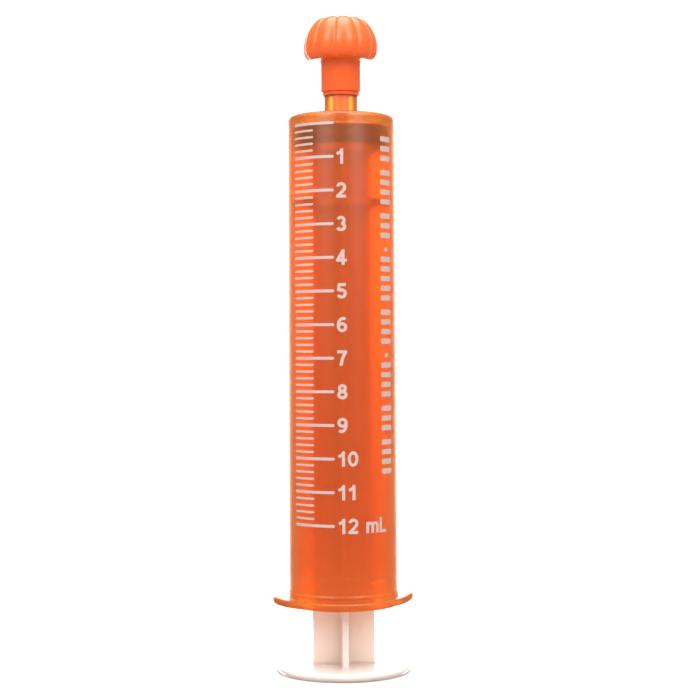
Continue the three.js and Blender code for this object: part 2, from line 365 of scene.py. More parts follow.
# The pinkish beige of these two tones is partly the milky plastic's own pale colour and partly painted
# light: a warm tint that stands in for the orange light the barrel throws onto the rod.
milky_painted_orange_light = plastic("milky_polypropylene_painted_orange_light", (0.76, 0.67, 0.62), (0.71, 0.625, 0.575), cloud=5 * mm,
                peel=0.5 * mm, gloss=0.13, spread=0.06, relief=0.003 * mm, scratch=0.3)
milky_painted_orange_light_shader = milky_painted_orange_light.node_tree.nodes["Principled BSDF"]
milky_painted_orange_light_shader.inputs["Subsurface Weight"].default_value = 1.0
milky_painted_orange_light_shader.inputs["Subsurface Radius"].default_value = (1.0, 0.8, 0.7)
milky_painted_orange_light_shader.inputs["Subsurface Scale"].default_value = 3 * mm

rest_rings = 12
rest_top = [(rest_radius * i / rest_rings, rest_thickness + rest_dish * (i / rest_rings) ** 2)
            for i in range(rest_rings - 1, -1, -1)]
rest_sides = 160
disc_sides = 128
rest = solid("rest", turned(rounded([
    (0, gate_depth), (gate_radius, gate_depth, gate_edge), (gate_radius + gate_depth, 0, gate_edge),
    (rest_radius - rest_taper, 0, rest_edge), (rest_radius, rest_taper_height, rest_shoulder),
    (rest_radius, rest_thickness + rest_dish, rest_edge), *rest_top,
]), rest_sides))
guide = solid("guide", turned(rounded([
    (0, z_guide - disc_thickness), (disc_radius, z_guide - disc_thickness, disc_edge),
    (disc_radius, z_guide, disc_edge), (0, z_guide),
]), disc_sides))
head = solid("head", turned(rounded([
    (0, z_head - disc_thickness), (disc_radius, z_head - disc_thickness, disc_edge),
    (disc_radius, z_head, disc_edge), (neck_radius, z_head, neck_fillet),
    (neck_radius, rod_high.z - button_length, fine_edge),
    (button_radius, rod_high.z - button_length, disc_edge),
    (button_radius, rod_high.z, disc_edge), (0, rod_high.z),
]), disc_sides))
rod = joined("push_rod", [
    rest,
    crossed_webs("long_webs", rest_thickness, z_guide - disc_thickness),
    guide,
    crossed_webs("short_webs", z_guide, z_head - disc_thickness),
    head,
])
rod.data.materials.append(milky_painted_orange_light)
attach(rod, "plunger")
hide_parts("plunger_rod")


# ------------------------------------------------------------------------------------------
# Seal
# A piston of dark moulded rubber with two lips that wipe the bore and a slack waist between
# them. It is turned in one piece, hollow below, and snaps over the button of the rod.
# ------------------------------------------------------------------------------------------

seal_radius = seal_high.x
seal_rim = seal_low.z + 2.85 * mm
lip_length = 0.7 * mm
lip_edge = 0.15 * mm
waist_depth = 0.35 * mm
waist_edge = 0.2 * mm
z_undercut = seal_low.z + 0.75 * mm
z_socket = rod_high.z + snap_room

seal = solid("rubber_seal", turned(rounded([
    (0, z_socket), (button_radius + snap_room, z_socket, waist_edge),
    (button_radius + snap_room, z_undercut, fine_edge),
    (neck_radius + snap_room, z_undercut, fine_edge),
    (neck_radius + snap_room, seal_low.z, fine_edge), (seal_radius, seal_low.z, waist_edge),
    (seal_radius, seal_low.z + lip_length, lip_edge),
    (seal_radius - waist_depth, seal_low.z + lip_length + waist_depth, waist_edge),
    (seal_radius - waist_depth, seal_rim - lip_length - waist_depth, waist_edge),
    (seal_radius, seal_rim - lip_length, lip_edge), (seal_radius, seal_rim, lip_edge),
    (0, seal_high.z),
]), disc_sides))
rubber = plastic("seal_rubber", (0.02, 0.012, 0.009), (0.012, 0.007, 0.006), cloud=2 * mm,
                 peel=0.25 * mm, gloss=0.5, spread=0.15, relief=0.004 * mm)
seal.data.materials.append(rubber)
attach(seal, "plunger")
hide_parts("plunger_seal")


# ------------------------------------------------------------------------------------------
# Barrel
# One moulding of orange tinted, see-through polypropylene: a tube with slight draft, a shallow
# shoulder with a blunt tip and its lumen, a low ring and an inner bead near the mouth, and a thin
# finger flange drawn out into two narrow ears that curve up at their ends.
# ------------------------------------------------------------------------------------------

barrel_low, barrel_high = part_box("barrel")
nominal_volume = 12000 * mm ** 3
bore_radius = 7.7 * mm
scale_length = nominal_volume / (pi * bore_radius ** 2)
wall = 1.12 * mm
outer_draft = 0.17 * mm
z_mouth = barrel_low.z
tail_length = 13.73 * mm
z_zero = z_mouth + tail_length + scale_length
z_bore_end = seal_rim + 0.15 * mm
cone_slope = 0.15
end_wall = 1.7 * mm
z_shoulder = z_bore_end + end_wall
shoulder_radius = bore_radius + wall
foot_radius = shoulder_radius + outer_draft
tip_radius = 2.77 * mm
tip_end_radius = tip_radius - 0.1 * mm
tip_end_edge = 0.35 * mm
z_tip_root = z_shoulder + cone_slope * (bore_radius - tip_radius)
z_tip_end = barrel_high.z
lumen_radius = 1.0 * mm
bead_height = 0.25 * mm
bead_half = 0.6 * mm
bead_crest = 0.2 * mm
z_bead = z_mouth + 4.7 * mm
ring_height = 0.12 * mm
ring_half = 0.35 * mm
z_ring = z_mouth + 2.2 * mm
mouth_chamfer = 0.35 * mm
sharp_edge = 0.15 * mm
soft_edge = 0.2 * mm
flange_edge = 0.45 * mm
flange_fillet = 0.7 * mm
shoulder_fillet = 0.85 * mm
bore_end_fillet = 0.3 * mm
flange_thickness = 1.15 * mm
ear_reach = barrel_high.x
ear_radius = 1.75 * mm
ear_bend = 2.6 * mm
ear_rise = 0.5 * mm
flange_middle = foot_radius + 0.3 * mm


def flange_reach(turn):
    """Axis to the rim of the flange, for an angle from +X: middle, straight flank or round ear end."""
    turn = abs(atan2(sin(turn), cos(turn)))
    turn = min(turn, pi - turn)
    ear_centre = ear_reach - ear_radius
    flank = acos((flange_middle - ear_radius) / ear_centre)
    touch = atan2(ear_radius * sin(flank), ear_centre + ear_radius * cos(flank))
    if turn > flank:
        return flange_middle
    if turn > touch:
        return flange_middle / cos(flank - turn)
    return ear_centre * cos(turn) + sqrt(ear_radius ** 2 - (ear_centre * sin(turn)) ** 2)


def barrel_profile(reach):
    """The barrel's section on a half plane where the flange reaches this far."""
    return rounded([
        (bore_radius + mouth_chamfer, z_mouth, sharp_edge),
        (reach, z_mouth, flange_edge),
        (reach, z_mouth + flange_thickness, flange_edge),
        (foot_radius, z_mouth + flange_thickness, flange_fillet),
        (foot_radius, z_ring - ring_half, soft_edge),
        (foot_radius + ring_height, z_ring, ring_height),
        (foot_radius, z_ring + ring_half, soft_edge),
        (shoulder_radius, z_shoulder, shoulder_fillet),
        (tip_radius, z_tip_root, soft_edge),
        (tip_end_radius, z_tip_end, tip_end_edge),
        (lumen_radius, z_tip_end, sharp_edge),
        (lumen_radius, z_bore_end + cone_slope * (bore_radius - lumen_radius), soft_edge),
        (bore_radius, z_bore_end, bore_end_fillet),
        (bore_radius, z_bead + bead_half, soft_edge),
        (bore_radius - bead_height, z_bead + bead_crest, soft_edge),
        (bore_radius - bead_height, z_bead - bead_crest, soft_edge),
        (bore_radius, z_bead - bead_half, soft_edge),
        (bore_radius, z_mouth + mouth_chamfer, sharp_edge),
    ], 5, closed=True)


def ear_lift(x, z):
    """How far the flange stands up at a distance along the ears."""
    if z > z_mouth + flange_thickness + 1e-6:
        return 0.0
    return ear_rise * (max(0.0, abs(x) - (ear_reach - ear_bend)) / ear_bend) ** 2


barrel_sides = 320
sections = []
for i in range(barrel_sides):
    turn = 2 * pi * i / barrel_sides
    section = []
    for radius, z in barrel_profile(flange_reach(turn)):
        x = radius * cos(turn)
        section.append(Vector((x, radius * sin(turn), z + ear_lift(x, z))))
    sections.append(section)
barrel = solid("barrel_body", skin(sections, loop=True))

orange = plastic("orange_clear_polypropylene", (1.0, 0.275, 0.025), (0.98, 0.26, 0.021), cloud=9 * mm,
                 peel=0.7 * mm, gloss=0.32, spread=0.05, relief=0.004 * mm, stretch=0.25, scratch=0.25)
orange_shader = orange.node_tree.nodes["Principled BSDF"]
orange_shader.inputs["Transmission Weight"].default_value = 0.88
orange_shader.inputs["Specular IOR Level"].default_value = 0.2
barrel.data.materials.append(orange)
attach(barrel, "barrel")
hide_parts("barrel")


# ------------------------------------------------------------------------------------------
# Printed scale
# White ink rolled onto the barrel: a line for every 0.2 mL, longer at every whole millilitre,
# and a column of plain bars on the right where a marking would be. The film of ink follows the
# barrel and stands a few hundredths of a millimetre proud of it.
# ------------------------------------------------------------------------------------------

ink_film = 0.02 * mm
line_count = 61
lines_per_mark = 5
print_turn = radians(-10)
line_left = radians(-57.4) + print_turn
short_line = 4.16 * mm
long_line = 7.7 * mm
short_stroke = 0.36 * mm
long_stroke = 0.47 * mm


def printed_radius(z):
    """The outside of the barrel at a height."""
    return shoulder_radius + outer_draft * (z_shoulder - z) / (z_shoulder - z_mouth)


def bar_blank():
    """A bar with round ends: x and z are in half strokes, y is 0 inside and 1 outside, and the
    attribute along runs from 0 at the left end's centre to 1 at the right end's."""
    end_steps = 5
    middle_steps = 14
    columns = [(0.0, -cos(radians(90) * i / end_steps), sin(radians(90) * i / end_steps))
               for i in range(1, end_steps)]
    columns += [(i / middle_steps, 0.0, 1.0) for i in range(middle_steps + 1)]
    columns += [(1.0, -x, half) for _, x, half in reversed(columns[:end_steps - 1])]
    bm = bmesh.new()
    along = bm.verts.layers.float.new("along")
    layers = []
    for y in (0.0, 1.0):
        def vert(share, x, z):
            made = bm.verts.new((x, y, z))
            made[along] = share
            return made
        tips = (vert(0.0, -1.0, 0.0), vert(1.0, 1.0, 0.0))
        upper = [tips[0]] + [vert(share, x, half) for share, x, half in columns] + [tips[1]]
        lower = [tips[0]] + [vert(share, x, -half) for share, x, half in columns] + [tips[1]]
        for i in range(len(upper) - 1):
            corners = [lower[i], lower[i + 1], upper[i + 1], upper[i]]
            bm.faces.new(list(dict.fromkeys(corners)))
        layers.append(upper + lower[-2:0:-1])
    inner, outer = layers
    for i in range(len(inner)):
        j = (i + 1) % len(inner)
        bm.faces.new([inner[i], inner[j], outer[j], outer[i]])
    bmesh.ops.recalc_face_normals(bm, faces=bm.faces)
    return solid("bar_blank", bm)


def calculator(nodes, links):
    """A function that adds a math node to these nodes and gives its result."""
    def math(operation, *values):
        node = nodes.new("ShaderNodeMath")
        node.operation = operation
        for socket, value in zip(node.inputs, values):
            if isinstance(value, (int, float)):
                socket.default_value = value
            else:
                links.new(value, socket)
        return node.outputs[0]
    return math


def scale_lines_tree(material):
    """Geometry Nodes: places the blank at every line of the scale and bends it round the barrel."""
    tree = bpy.data.node_groups.new("scale_lines", "GeometryNodeTree")
    face = tree.interface
    face.new_socket("Geometry", in_out="INPUT", socket_type="NodeSocketGeometry")
    face.new_socket("Lines", in_out="INPUT", socket_type="NodeSocketInt")
    face.new_socket("Lines per Mark", in_out="INPUT", socket_type="NodeSocketInt")
    for label in ("First Height", "Pitch", "Left Angle", "Short Length", "Long Length", "Short Stroke",
                  "Long Stroke", "Radius", "Draft", "Film"):
        face.new_socket(label, in_out="INPUT", socket_type="NodeSocketFloat")
    face.new_socket("Geometry", in_out="OUTPUT", socket_type="NodeSocketGeometry")
    nodes, links = tree.nodes, tree.links
    given = nodes.new("NodeGroupInput").outputs
    result = nodes.new("NodeGroupOutput")

    math = calculator(nodes, links)

    def vector(x=0.0, y=0.0, z=0.0):
        node = nodes.new("ShaderNodeCombineXYZ")
        for socket, value in zip(node.inputs, (x, y, z)):
            if isinstance(value, (int, float)):
                socket.default_value = value
            else:
                links.new(value, socket)
        return node.outputs[0]

    def stored(name, geometry, value):
        node = nodes.new("GeometryNodeStoreNamedAttribute")
        node.data_type = "FLOAT"
        node.domain = "INSTANCE"
        node.inputs["Name"].default_value = name
        links.new(geometry, node.inputs["Geometry"])
        links.new(value, node.inputs["Value"])
        return node.outputs["Geometry"]

    def attribute(name):
        node = nodes.new("GeometryNodeInputNamedAttribute")
        node.data_type = "FLOAT"
        node.inputs["Name"].default_value = name
        return node.outputs["Attribute"]

    def chosen(is_long, short, long):
        return math("ADD", math("MULTIPLY", is_long, math("SUBTRACT", long, short)), short)

    column = nodes.new("GeometryNodeMeshLine")
    links.new(given["Lines"], column.inputs["Count"])
    links.new(vector(z=given["First Height"]), column.inputs["Start Location"])
    links.new(vector(z=math("MULTIPLY", given["Pitch"], -1.0)), column.inputs["Offset"])
    copies = nodes.new("GeometryNodeInstanceOnPoints")
    links.new(column.outputs["Mesh"], copies.inputs["Points"])
    links.new(given["Geometry"], copies.inputs["Instance"])
    number = nodes.new("GeometryNodeInputIndex").outputs[0]
    is_long = math("LESS_THAN", math("MODULO", number, given["Lines per Mark"]), 0.5)
    height = math("SUBTRACT", given["First Height"], math("MULTIPLY", number, given["Pitch"]))
    lines = stored("line_height", copies.outputs["Instances"], height)
    lines = stored("line_length", lines, chosen(is_long, given["Short Length"], given["Long Length"]))
    lines = stored("half_stroke", lines,
                   math("DIVIDE", chosen(is_long, given["Short Stroke"], given["Long Stroke"]), 2.0))
    real = nodes.new("GeometryNodeRealizeInstances")
    links.new(lines, real.inputs[0])

    here = nodes.new("ShaderNodeSeparateXYZ")
    links.new(nodes.new("GeometryNodeInputPosition").outputs[0], here.inputs[0])
    half = attribute("half_stroke")
    level = attribute("line_height")
    inner_length = math("SUBTRACT", attribute("line_length"), math("MULTIPLY", half, 2.0))
    arc = math("ADD", math("MULTIPLY", attribute("along"), inner_length),
               math("MULTIPLY", math("ADD", here.outputs["X"], 1.0), half))
    across = math("MULTIPLY", math("SUBTRACT", here.outputs["Z"], level), half)
    radius = math("ADD", given["Radius"],
                  math("MULTIPLY", given["Draft"], math("SUBTRACT", given["First Height"], level)))
    angle = math("ADD", given["Left Angle"], math("DIVIDE", arc, radius))
    shell = math("ADD", radius, math("MULTIPLY", here.outputs["Y"], given["Film"]))
    bent = vector(math("MULTIPLY", shell, math("SINE", angle)),
                  math("MULTIPLY", math("MULTIPLY", shell, math("COSINE", angle)), -1.0),
                  math("ADD", level, across))
    wrap = nodes.new("GeometryNodeSetPosition")
    links.new(real.outputs[0], wrap.inputs["Geometry"])
    links.new(bent, wrap.inputs["Position"])
    inked = nodes.new("GeometryNodeSetMaterial")
    inked.inputs["Material"].default_value = material
    links.new(wrap.outputs[0], inked.inputs["Geometry"])
    links.new(inked.outputs[0], result.inputs["Geometry"])
    return tree


def modifier_inputs(piece, tree, values):
    """Adds the tree to the piece and sets its named inputs by identifier."""
    modifier = piece.modifiers.new(tree.name, "NODES")
    modifier.node_group = tree
    for item in tree.interface.items_tree:
        if item.in_out == "INPUT" and item.name in values:
            modifier[item.identifier] = values[item.name]


def wrapped(name, bm, depth=ink_film):
    """Bends a flat design round the barrel. In the design x runs round the barrel in metres from
    the -Y side, y is the height, and z from 0 to 1 is the thickness of the film."""
    low = min(vert.co.x for vert in bm.verts)
    high = max(vert.co.x for vert in bm.verts)
    strip = 0.3 * mm
    for i in range(1, ceil((high - low) / strip)):
        everything = bm.verts[:] + bm.edges[:] + bm.faces[:]
        bmesh.ops.bisect_plane(bm, geom=everything, plane_co=(low + i * strip, 0, 0), plane_no=(1, 0, 0))
    for vert in bm.verts:
        radius = printed_radius(vert.co.y)
        shell = radius + (depth if vert.co.z > 0.5 else 0.0)
        angle = vert.co.x / radius
        vert.co = (shell * sin(angle), -shell * cos(angle), vert.co.y)
    bmesh.ops.recalc_face_normals(bm, faces=bm.faces)
    return solid(name, bm)


def sweep(x, y, wide, high, start, end, steps=14):
    """Points along part of an ellipse, in degrees counted from the right."""
    turns = [radians(start + (end - start) * i / steps) for i in range(steps + 1)]
    return [(x + wide * cos(a), y + high * sin(a)) for a in turns]


# Each figure is a list of strokes: the middle line of the pen, for a figure 1 tall. The steps
# are how far the next figure stands to the right.
pen = 0.2
figure_strokes = {
    "0": [sweep(0.355, 0.5, 0.255, 0.4, 0, 360, 40)],
    "1": [[(0.40, 1.0), (0.40, 0.0)], [(0.42, 0.90), (0.30, 0.75), (0.07, 0.66)]],
    "2": [sweep(0.35, 0.66, 0.235, 0.24, 168, -28, 16) + [(0.14, 0.10)], [(0.02, 0.09), (0.66, 0.09)]],
    "3": [sweep(0.33, 0.70, 0.20, 0.205, 160, -90, 16), sweep(0.33, 0.30, 0.235, 0.205, 90, -160, 18)],
    "4": [[(0.45, 1.0), (0.45, 0.0)], [(0.45, 0.93), (0.10, 0.33)], [(0.0, 0.30), (0.70, 0.30)]],
    "5": [[(0.20, 0.91), (0.62, 0.91)], [(0.20, 1.0), (0.13, 0.50)],
          sweep(0.345, 0.325, 0.235, 0.235, 135, -160, 20)],
    "6": [sweep(0.36, 0.325, 0.235, 0.225, 0, 360, 32),
          sweep(0.42, 0.45, 0.30, 0.45, 58, 190, 16)],
    "7": [[(0.03, 0.91), (0.68, 0.91)], [(0.60, 0.91), (0.38, 0.50), (0.27, 0.0)]],
    "8": [sweep(0.355, 0.72, 0.19, 0.18, 0, 360, 28), sweep(0.355, 0.30, 0.235, 0.20, 0, 360, 32)],
    "9": [sweep(0.35, 0.675, 0.235, 0.225, 0, 360, 32),
          sweep(0.29, 0.55, 0.30, 0.45, 238, 370, 16)],
    "m": [[(0.10, 0.74), (0.10, 0.0)], sweep(0.29, 0.47, 0.19, 0.18, 180, 0, 12) + [(0.48, 0.0)],
          sweep(0.67, 0.47, 0.19, 0.18, 180, 0, 12) + [(0.86, 0.0)]],
    "L": [[(0.10, 1.0), (0.10, 0.0)], [(0.02, 0.09), (0.60, 0.09)]],
}
figure_steps = {"1": 0.68, "m": 1.06, "L": 0.66, " ": 0.46}
usual_step = 0.78


def pen_stroke(name, line):
    """A flat ribbon one pen wide along a line, with square ends, or a closed ring."""
    points = [Vector(point) for point in line]
    ring = (points[0] - points[-1]).length < 1e-6
    if ring:
        points.pop()
    count = len(points)
    bm = bmesh.new()
    sections = []
    for i, point in enumerate(points):
        back = points[i - 1] if ring or i > 0 else None
        ahead = points[(i + 1) % count] if ring or i < count - 1 else None
        before = (point - back).normalized() if back else (ahead - point).normalized()
        after = (ahead - point).normalized() if ahead else before
        normal = Vector((-before.y - after.y, before.x + after.x)).normalized()
        reach = pen / 2 / max(0.5, normal.dot(Vector((-after.y, after.x))))
        sides = (point + normal * reach, point - normal * reach)
        sections.append([bm.verts.new((side.x, side.y, z)) for z in (0.0, 1.0) for side in sides])
    for i in range(count if ring else count - 1):
        low, high = sections[i], sections[(i + 1) % count]
        for a, b in ((0, 1), (1, 3), (3, 2), (2, 0)):
            bm.faces.new([low[a], low[b], high[b], high[a]])
    if not ring:
        for section in (sections[0], sections[-1]):
            bm.faces.new([section[0], section[1], section[3], section[2]])
    bmesh.ops.recalc_face_normals(bm, faces=bm.faces)
    return solid(name, bm)


def figure(body, height):
    """A flat design of a number or unit mark, its lower left corner at the origin."""
    design = bmesh.new()
    at = 0.0
    for sign in body:
        if sign in figure_strokes:
            whole = joined("figure", [pen_stroke("stroke", line) for line in figure_strokes[sign]])
            whole.data.transform(Matrix.Translation((at, 0, 0)))
            design.from_mesh(whole.data)
            bpy.data.meshes.remove(whole.data)
        at += figure_steps.get(sign, usual_step)
    for vert in design.verts:
        vert.co.x *= height
        vert.co.y *= height
    return design


ink = plastic("white_ink", (0.56, 0.41, 0.37), (0.52, 0.38, 0.34), cloud=1.5 * mm, peel=0.12 * mm,
              gloss=0.45, spread=0.1, relief=0.003 * mm)

lines = bar_blank()
lines_tree = scale_lines_tree(ink)
modifier_inputs(lines, lines_tree, {
    "Lines": line_count, "Lines per Mark": lines_per_mark, "First Height": z_zero,
    "Pitch": scale_length / (line_count - 1), "Left Angle": line_left, "Short Length": short_line,
    "Long Length": long_line, "Short Stroke": short_stroke, "Long Stroke": long_stroke,
    "Radius": printed_radius(z_zero), "Draft": outer_draft / (z_shoulder - z_mouth), "Film": ink_film,
})
bpy.context.view_layer.update()
scale_lines = baked("scale_lines", lines)
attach(scale_lines, "barrel")

numeral_height = 2.44 * mm
numeral_left = (radians(-5.5) + print_turn) * printed_radius(z_zero)
numerals = bmesh.new()
for millilitre in range(1, 13):
    design = figure("12 mL" if millilitre == 12 else str(millilitre), numeral_height)
    z_mark = z_zero - scale_length * millilitre / 12
    for vert in design.verts:
        vert.co.x += numeral_left
        vert.co.y += z_mark - numeral_height / 2
    flat = bpy.data.meshes.new("numeral")
    design.to_mesh(flat)
    design.free()
    numerals.from_mesh(flat)
    bpy.data.meshes.remove(flat)
scale_numerals = wrapped("scale_numerals", numerals)
scale_numerals.data.materials.append(ink)
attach(scale_numerals, "barrel")

bar_groups = (3, 4, 3, 5, 4, 4, 3, 4)
groups_before_dot = (3, 5)
bar_pitch = 1.56 * mm
bar_stroke = 0.85 * mm
bar_length = 2.6 * mm
group_gap = 0.75 * mm
dot_gap = 1.55 * mm
marking_angle = radians(54) + print_turn
marking_middle = marking_angle * printed_radius(z_zero)
bar_dot = 0.6 * mm
bar_corner = 0.2 * mm
marking_start = 1.85 * mm
z_bar = z_zero - marking_start - bar_stroke / 2


def flat_bar(bm, x, y, width, height):
    """Adds a bar with rounded corners to a flat design, centred on x and y."""
    outline = rounded([
        (x - width / 2, y - height / 2, bar_corner), (x + width / 2, y - height / 2, bar_corner),
        (x + width / 2, y + height / 2, bar_corner), (x - width / 2, y + height / 2, bar_corner),
    ], 3, closed=True)
    inner, outer = [[bm.verts.new((p.x, p.y, z)) for p in outline] for z in (0.0, 1.0)]
    bm.faces.new(inner)
    bm.faces.new(outer)
    for i in range(len(inner)):
        j = (i + 1) % len(inner)
        bm.faces.new([inner[i], inner[j], outer[j], outer[i]])


marking = bmesh.new()
for number, bars in enumerate(bar_groups):
    if number in groups_before_dot:
        flat_bar(marking, marking_middle, z_bar + (bar_pitch - dot_gap) / 2, bar_stroke, bar_dot)
        z_bar -= dot_gap
    for _ in range(bars):
        flat_bar(marking, marking_middle, z_bar, bar_length, bar_stroke)
        z_bar -= bar_pitch
    z_bar -= group_gap
side_marking = wrapped("side_marking", marking)
side_marking.data.materials.append(ink)
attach(side_marking, "barrel")


# ------------------------------------------------------------------------------------------
# Cap
# One moulding of paler orange polypropylene: a tapered lip and a collar that grip the tip, and
# a heavy dome with ten soft lobes for the fingers. It is pushed on and pulled off.
# ------------------------------------------------------------------------------------------

cap_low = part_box("tip_cap")[0]
cap_room = 0.05 * mm
cap_wall = 0.48 * mm
collar_radius = tip_radius + cap_room + cap_wall
lip_length = 0.6 * mm
lip_inset = 0.25 * mm
z_collar = cap_low.z + lip_length
collar_length = 5.12 * mm
z_underside = z_collar + collar_length
dome_radius = 6.13 * mm
dome_waist = 2.5 * mm
dome_height = 4.53 * mm
crest_radius = 3.2 * mm
crown_dip = 0.35 * mm
dome_drop = 3.0 * mm
upper_power = 1.66
lower_power = 3.68
z_widest = z_underside + dome_waist
z_socket_top = z_tip_end + 0.4 * mm
lobes = 10
lobe_sides = 24
waist_steps = 10
dome_steps = 34
crown_steps = 12
groove_depth = 0.34 * mm
lobe_fullness = 0.6


def dome_reach(height):
    """Half width of the dome at a height above its widest ring, or below it when negative."""
    if height < 0:
        return dome_radius * (1 - (-height / dome_drop) ** lower_power) ** (1 / lower_power)
    share = max(0.0, 1 - (height / dome_height) ** upper_power) ** (1 / upper_power)
    return crest_radius + (dome_radius - crest_radius) * share


def tip_at(z):
    """The outside of the tip at a height."""
    return tip_radius - 0.01 * (z - z_tip_root)


def cap_blank():
    """The cap as turned, before its lobes are cut."""
    lower = [-dome_waist * (1 - i / waist_steps) for i in range(1, waist_steps)]
    upper = [dome_height * sin(radians(90) * i / dome_steps) for i in range(dome_steps + 1)]
    dome = [(dome_reach(height), z_widest + height) for height in lower + upper]
    crown = [(crest_radius * (1 - i / crown_steps),
              z_widest + dome_height - crown_dip * sin(radians(90) * i / crown_steps) ** 2)
             for i in range(1, crown_steps + 1)]
    base = dome_reach(-dome_waist)
    outline = rounded([
        (0, z_socket_top), (tip_at(z_socket_top) + cap_room, z_socket_top, 0.2 * mm),
        (tip_at(cap_low.z) + cap_room, cap_low.z, 0.08 * mm),
        (collar_radius - lip_inset, cap_low.z, fine_edge),
        (collar_radius - lip_inset, z_collar, fine_edge),
        (collar_radius, z_collar, sharp_edge), (collar_radius, z_underside, 0.35 * mm),
        (base, z_underside, 0.25 * mm), dome[0],
    ], 4)
    outline += [Vector(point) for point in dome[1:] + crown[:-1]]
    outline.append(Vector((0, z_widest + dome_height - crown_dip)))
    return turned(outline, lobes * lobe_sides)


def finger_lobes_tree(material):
    """Geometry Nodes: cuts soft grooves between the lobes of a dome turned about Z."""
    tree = bpy.data.node_groups.new("finger_lobes", "GeometryNodeTree")
    face = tree.interface
    face.new_socket("Geometry", in_out="INPUT", socket_type="NodeSocketGeometry")
    for label in ("Lobes", "Groove Depth", "Fullness", "Dome Radius", "Crest Radius", "Collar Radius",
                  "Underside", "Widest", "Fade"):
        face.new_socket(label, in_out="INPUT", socket_type="NodeSocketFloat")
    face.new_socket("Geometry", in_out="OUTPUT", socket_type="NodeSocketGeometry")
    nodes, links = tree.nodes, tree.links
    given = nodes.new("NodeGroupInput").outputs
    result = nodes.new("NodeGroupOutput")

    math = calculator(nodes, links)

    def ramp(value, start, length):
        node = nodes.new("ShaderNodeMapRange")
        node.interpolation_type = "SMOOTHSTEP"
        links.new(value, node.inputs["Value"])
        links.new(start, node.inputs["From Min"])
        links.new(math("ADD", start, length), node.inputs["From Max"])
        return node.outputs["Result"]

    here = nodes.new("ShaderNodeSeparateXYZ")
    links.new(nodes.new("GeometryNodeInputPosition").outputs[0], here.inputs[0])
    x, y, z = here.outputs
    radius = math("SQRT", math("ADD", math("MULTIPLY", x, x), math("MULTIPLY", y, y)))
    turn = math("ARCTAN2", x, math("MULTIPLY", y, -1.0))
    wave = math("ABSOLUTE", math("COSINE", math("MULTIPLY", turn, math("DIVIDE", given["Lobes"], 2.0))))
    valley = math("SUBTRACT", 1.0, math("POWER", wave, given["Fullness"]))
    outside = math("GREATER_THAN", radius, given["Collar Radius"])
    skirt = math("MULTIPLY", outside, ramp(z, given["Underside"], given["Fade"]))
    well_above = math("MULTIPLY", given["Dome Radius"], 0.3)
    top = math("GREATER_THAN", z, math("ADD", given["Widest"], well_above))
    to_middle = math("MINIMUM", 1.0, math("DIVIDE", radius, given["Crest Radius"]))
    where = math("MULTIPLY", math("MAXIMUM", skirt, top), to_middle)
    depth = math("DIVIDE", given["Groove Depth"], given["Dome Radius"])
    keep = math("SUBTRACT", 1.0, math("MULTIPLY", math("MULTIPLY", valley, where), depth))
    moved = nodes.new("ShaderNodeCombineXYZ")
    links.new(math("MULTIPLY", x, keep), moved.inputs["X"])
    links.new(math("MULTIPLY", y, keep), moved.inputs["Y"])
    above = math("MULTIPLY", math("SUBTRACT", z, given["Widest"]), keep)
    links.new(math("ADD", above, given["Widest"]), moved.inputs["Z"])
    shift = nodes.new("GeometryNodeSetPosition")
    links.new(given["Geometry"], shift.inputs["Geometry"])
    links.new(moved.outputs[0], shift.inputs["Position"])
    real = nodes.new("GeometryNodeRealizeInstances")
    links.new(shift.outputs[0], real.inputs[0])
    coloured = nodes.new("GeometryNodeSetMaterial")
    coloured.inputs["Material"].default_value = material
    links.new(real.outputs[0], coloured.inputs["Geometry"])
    links.new(coloured.outputs[0], result.inputs["Geometry"])
    return tree


cap_orange = plastic("orange_opaque_polypropylene", (0.9, 0.13, 0.017), (0.87, 0.115, 0.014),
                     cloud=3 * mm, peel=0.35 * mm, gloss=0.3, spread=0.08, relief=0.006 * mm,
                     scratch=0.3)
cap_shader = cap_orange.node_tree.nodes["Principled BSDF"]
cap_shader.inputs["Subsurface Weight"].default_value = 0.4
cap_shader.inputs["Subsurface Radius"].default_value = (1.0, 0.35, 0.1)
cap_shader.inputs["Subsurface Scale"].default_value = 1.0 * mm

cap = solid("cap_blank", cap_blank())
modifier_inputs(cap, finger_lobes_tree(cap_orange), {
    "Lobes": float(lobes), "Groove Depth": groove_depth, "Fullness": lobe_fullness,
    "Dome Radius": dome_radius, "Crest Radius": crest_radius, "Collar Radius": collar_radius + 0.4 * mm,
    "Underside": z_underside, "Widest": z_widest, "Fade": 0.5 * mm,
})
bpy.context.view_layer.update()
tip_cap = baked("lobed_cap", cap)
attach(tip_cap, "tip_cap")
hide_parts("tip_cap")


# ------------------------------------------------------------------------------------------
# Studio
# A plain pale floor, dim surroundings with a bright panel behind and above, and two soft boxes
# high in front. The floor stays out of reflections, and the camera sees plain white behind the
# object. The camera stands a little to the left of the numerals, level with the barrel.
# ------------------------------------------------------------------------------------------

floor = bpy.data.objects.new("studio_floor", bpy.data.meshes.new("studio_floor"))
bpy.context.scene.collection.objects.link(floor)
floor_sheet = bmesh.new()
floor_half_width = 1.5
bmesh.ops.create_grid(floor_sheet, x_segments=8, y_segments=8, size=floor_half_width)
floor_sheet.to_mesh(floor.data)
floor_sheet.free()
paper = plastic("studio_paper", (0.66, 0.66, 0.667), (0.65, 0.65, 0.655), cloud=60 * mm, peel=1 * mm,
                gloss=0.6, spread=0.1, relief=0.002 * mm)
paper_nodes, paper_links = paper.node_tree.nodes, paper.node_tree.links
paper_tone = paper_nodes["Principled BSDF"].inputs["Base Color"].links[0].from_socket
dim = paper_nodes.new("ShaderNodeMix")
dim.data_type = "RGBA"
dim.inputs["A"].default_value = (0.33, 0.33, 0.335, 1)
paper_links.new(paper_nodes.new("ShaderNodeLightPath").outputs["Is Camera Ray"], dim.inputs["Factor"])
paper_links.new(paper_tone, dim.inputs["B"])
